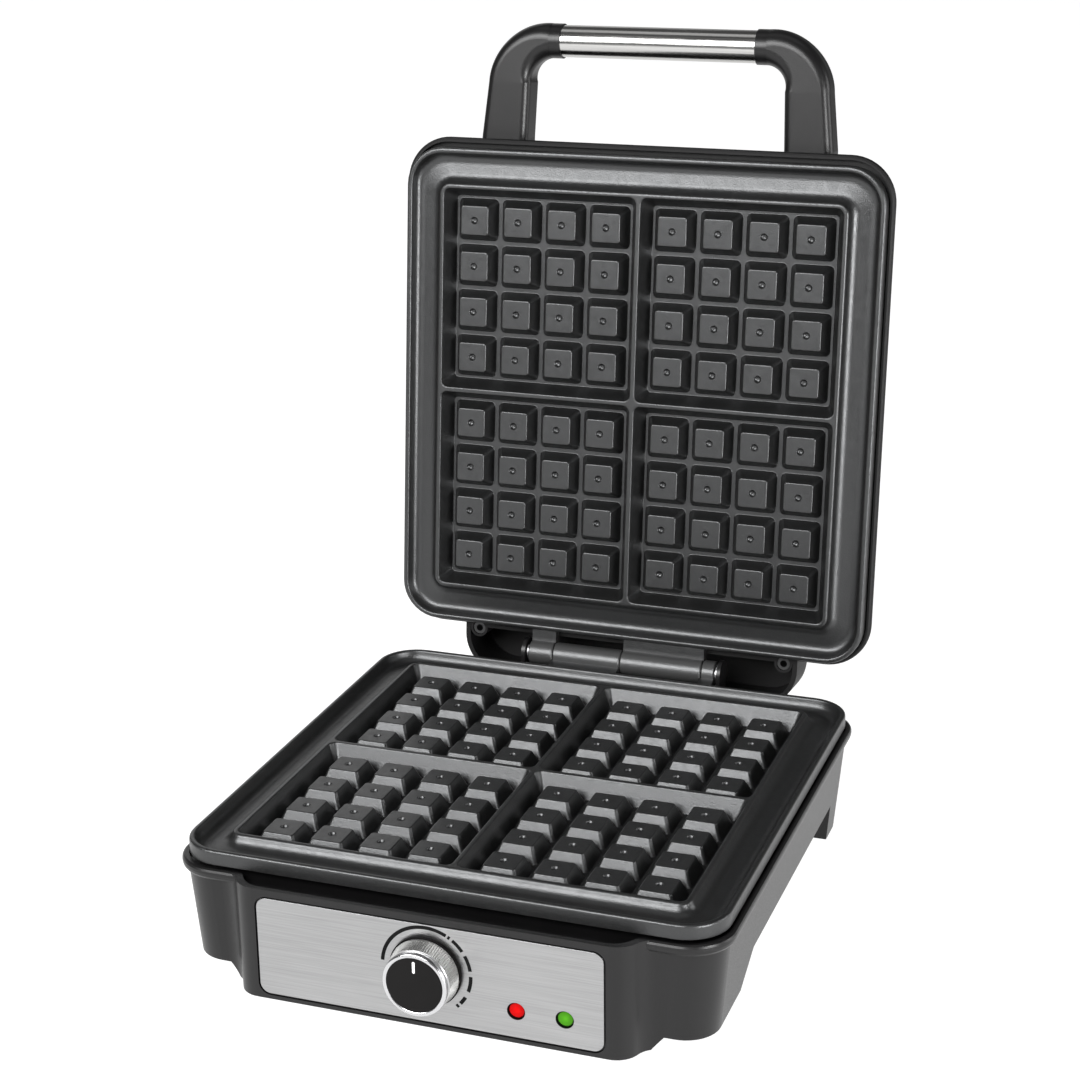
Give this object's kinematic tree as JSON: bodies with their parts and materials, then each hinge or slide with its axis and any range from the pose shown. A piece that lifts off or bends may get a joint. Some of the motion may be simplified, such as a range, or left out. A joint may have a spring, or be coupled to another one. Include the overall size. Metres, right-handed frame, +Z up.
{
  "type": "waffle_maker",
  "caption": "Free-standing waffle maker with the lid open: square grid plates, black housing, steel front panel with a chrome knob and two lamps, steel bar handle",
  "frame": {"origin": "middle of the whole object's box, at the surface it stands on", "axes": "X to the right seen from the front, Y to the back, Z up"},
  "size_m": [0.2596, 0.3678, 0.3896],
  "materials": {
    "black_plastic": "satin moulded plastic",
    "cover_plastic": "matte moulded plastic",
    "nonstick_plate": "speckled satin non-stick coating on cast aluminium",
    "element_steel": "dull steel sheath",
    "sheet_metal": "plain sheet",
    "screw_steel": "plated steel",
    "dark_screw": "blackened steel",
    "brushed_panel": "fine horizontal brushing",
    "handle_steel": "polished along its length",
    "red_lens": "translucent lens",
    "green_lens": "translucent lens",
    "lamp_glass": "clear",
    "ceramic_white": "ceramic",
    "foot_rubber": "matte",
    "knob_chrome": "knurled band, polished rim",
    "knob_black": "satin",
    "pointer_white": "plain"
  },
  "bodies": {
    "base": {"base_housing": "black_plastic", "base_bottom_cover": "cover_plastic", "lower_plate": "nonstick_plate", "lower_heating_element": "element_steel", "lower_element_clamps": "sheet_metal", "lower_heat_shield": "sheet_metal", "lower_plate_screws": "screw_steel", "front_panel": "brushed_panel", "red_lamp_lens": "red_lens", "green_lamp_lens": "green_lens", "lamp_holders": "ceramic_white", "neon_lamps": "lamp_glass", "thermostat_body": "ceramic_white", "thermostat_bracket": "sheet_metal", "thermostat_screws": "screw_steel", "terminal_block": "ceramic_white", "thermal_fuse": "sheet_metal", "cord_inlet_bush": "black_plastic", "front_rubber_feet": "foot_rubber", "rear_rubber_feet": "foot_rubber", "bottom_cover_screws": "screw_steel", "hinge_pin": "screw_steel", "hinge_pin_clips": "screw_steel"},
    "lid": {"lid_housing": "black_plastic", "upper_plate": "nonstick_plate", "upper_heating_element": "element_steel", "upper_element_clamps": "sheet_metal", "upper_heat_shield": "sheet_metal", "upper_plate_screws": "screw_steel", "lid_ear_screws": "dark_screw", "handle_left_arm": "black_plastic", "handle_right_arm": "black_plastic", "handle_tube": "handle_steel", "handle_rod": "screw_steel", "handle_screws": "screw_steel"},
    "knob": {"knob_sleeve": "knob_chrome", "knob_skirt": "knob_black", "knob_face": "knob_black", "knob_pointer": "pointer_white", "thermostat_shaft": "screw_steel"}
  },
  "joints": [
    {"name": "lid_hinge", "type": "hinge", "parent": "base", "child": "lid", "pos_m": [0, 0.10887, 0.0645], "axis": [1, 0, 0], "range_deg": [0, 96.2]},
    {"name": "knob_turn", "type": "hinge", "parent": "base", "child": "knob", "pos_m": [0, -0.16973, 0.0296], "axis": [0, 1, 0], "range_deg": [-140, 140]}
  ]
}
